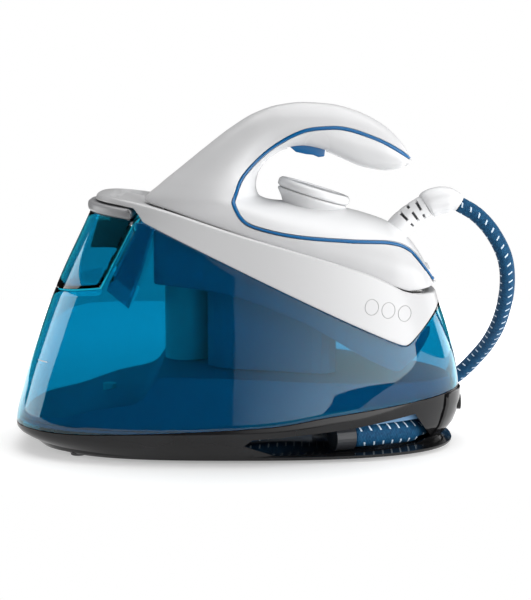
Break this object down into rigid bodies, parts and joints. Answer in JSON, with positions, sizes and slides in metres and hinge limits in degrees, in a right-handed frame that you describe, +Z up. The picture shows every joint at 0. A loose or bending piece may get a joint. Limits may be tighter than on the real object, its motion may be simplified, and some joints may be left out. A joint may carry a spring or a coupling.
{
  "type": "steam ironing station with iron",
  "caption": "Steam iron resting on the sloping deck of a station with a translucent water tank, a fill drawer, a hose slot in its base and a braided steam hose.",
  "frame": {"origin": "middle of the footprint of everything but the hose, on the table", "axes": "+X along the station from its tall front end to its low rear end, +Y across to the side the hose leaves from, +Z up"},
  "size_m": [0.4511, 0.2319, 0.3045],
  "materials": {
    "glossy_black": "high-gloss black moulding",
    "dark_plastic": "satin dark moulding",
    "clear_blue": "clear blue tinted moulding",
    "light_grey": "semi-gloss light grey moulding",
    "white_plastic": "semi-gloss white moulding",
    "trim_blue": "glossy blue moulding",
    "blue_braid": "woven braid with pale flecks",
    "brushed_steel": "fine brushed",
    "cast_aluminium": "as cast",
    "grey_rubber": "matte",
    "heat_shield": "matte",
    "circuit_board": "solder mask",
    "lamp_lens": "glossy amber"
  },
  "bodies": {
    "station": {"base_tray": "glossy_black", "end_panel": "glossy_black", "deck_pan": "dark_plastic", "inner_housing": "dark_plastic", "boiler_tower": "dark_plastic", "chassis_plate": "dark_plastic", "heating_element": "dark_plastic", "boiler_thermostat": "dark_plastic", "water_pump": "dark_plastic", "steam_valve": "dark_plastic", "power_switch": "dark_plastic", "mains_inlet": "dark_plastic", "hose_gland": "dark_plastic", "water_tank": "clear_blue", "fill_chute": "clear_blue", "deck": "light_grey", "pump_column": "light_grey", "tank_outlet": "light_grey", "steam_hose": "blue_braid", "hose_end_sleeve": "blue_braid", "boiler_lower_shell": "brushed_steel", "boiler_upper_shell": "brushed_steel", "safety_valve": "brushed_steel", "steam_pipe": "brushed_steel", "housing_screw_1": "brushed_steel", "housing_screw_2": "brushed_steel", "housing_screw_3": "brushed_steel", "housing_screw_4": "brushed_steel", "rest_mat": "grey_rubber", "pump_mount": "grey_rubber", "suction_tube": "grey_rubber", "feed_tube": "grey_rubber", "foot_front_near": "grey_rubber", "foot_front_far": "grey_rubber", "foot_rear_near": "grey_rubber", "foot_rear_far": "grey_rubber", "control_board": "circuit_board", "indicator_lens": "lamp_lens"},
    "drawer": {"fill_drawer": "clear_blue", "drawer_grip": "light_grey", "drawer_block": "dark_plastic"},
    "button": {"power_button": "glossy_black"},
    "iron": {"outer_shell": "light_grey", "inner_shell": "white_plastic", "trim_near": "trim_blue", "trim_far": "trim_blue", "dial_bezel": "white_plastic", "trigger_pin": "brushed_steel", "microswitch": "dark_plastic", "soleplate": "brushed_steel", "heater_body": "cast_aluminium", "steam_chamber_cover": "cast_aluminium", "heat_shield": "heat_shield", "thermostat": "dark_plastic", "heel_screw": "brushed_steel", "hose_boot": "white_plastic", "boot_ferrule": "white_plastic"},
    "trigger": {"trigger": "trim_blue"},
    "dial": {"dial": "white_plastic", "dial_spindle": "dark_plastic"}
  },
  "joints": [
    {"name": "iron_lift", "type": "slide", "parent": "station", "child": "iron", "axis": [0, 0, 1], "range_m": [0, 0.1]},
    {"name": "drawer_slide", "type": "slide", "parent": "station", "child": "drawer", "axis": [-0.9925, 0, 0.1219], "range_m": [0, 0.03]},
    {"name": "button_press", "type": "slide", "parent": "station", "child": "button", "axis": [-1, 0, 0], "range_m": [0, 0.002], "stiffness_N_per_m": 800, "springref_m": -0.001},
    {"name": "trigger_press", "type": "hinge", "parent": "iron", "child": "trigger", "pos_m": [0.0475, 0, 0.2675], "axis": [0, -1, 0], "range_deg": [0, 8], "stiffness_Nm_per_rad": 0.3, "springref_deg": -2.86},
    {"name": "dial_turn", "type": "hinge", "parent": "iron", "child": "dial", "pos_m": [0.06523, 0, 0.22237], "axis": [0.2924, 0, 0.9563], "range_deg": [0, 270]}
  ]
}
